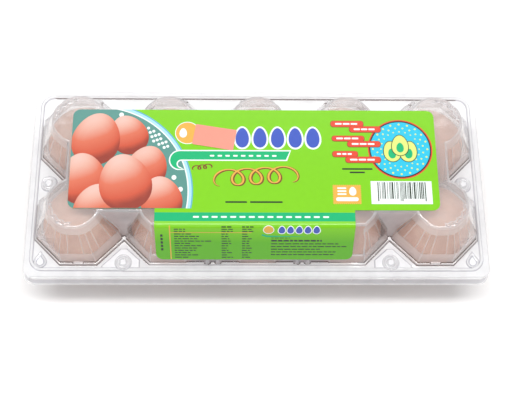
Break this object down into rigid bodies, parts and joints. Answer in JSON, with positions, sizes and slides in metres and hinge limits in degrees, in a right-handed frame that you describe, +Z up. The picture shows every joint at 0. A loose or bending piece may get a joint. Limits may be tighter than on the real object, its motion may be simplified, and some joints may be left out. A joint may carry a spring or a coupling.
{
  "type": "egg carton with eggs",
  "caption": "Clear hinged plastic carton filled with brown eggs, with faceted domed cells, a flat-topped lid and a printed label folded down over its front.",
  "frame": {"origin": "on the table, under the middle of the carton's box", "axes": "+X along the carton to its right end, +Y from the front with the label's drop to the hinge, +Z up"},
  "size_m": [0.2566, 0.1162, 0.0702],
  "materials": {
    "clear_sheet": "clear thermoformed sheet with a faint milky haze",
    "eggshell": "brown hen's eggshell, satin",
    "printed_label": "coated label stock printed in bright yellow-green",
    "sticker_paper": "salmon pink price sticker"
  },
  "bodies": {
    "tray": {"tray": "clear_sheet", "egg_1": "eggshell", "egg_2": "eggshell", "egg_3": "eggshell", "egg_4": "eggshell", "egg_5": "eggshell", "egg_6": "eggshell", "egg_7": "eggshell", "egg_8": "eggshell", "egg_9": "eggshell", "egg_10": "eggshell"},
    "lid": {"lid": "clear_sheet", "label": "printed_label", "price_sticker": "sticker_paper"}
  },
  "joints": [
    {"name": "lid_hinge", "type": "hinge", "parent": "tray", "child": "lid", "pos_m": [0, 0.0584, 0.03715], "axis": [-1, 0, 0], "range_deg": [0, 180]}
  ]
}
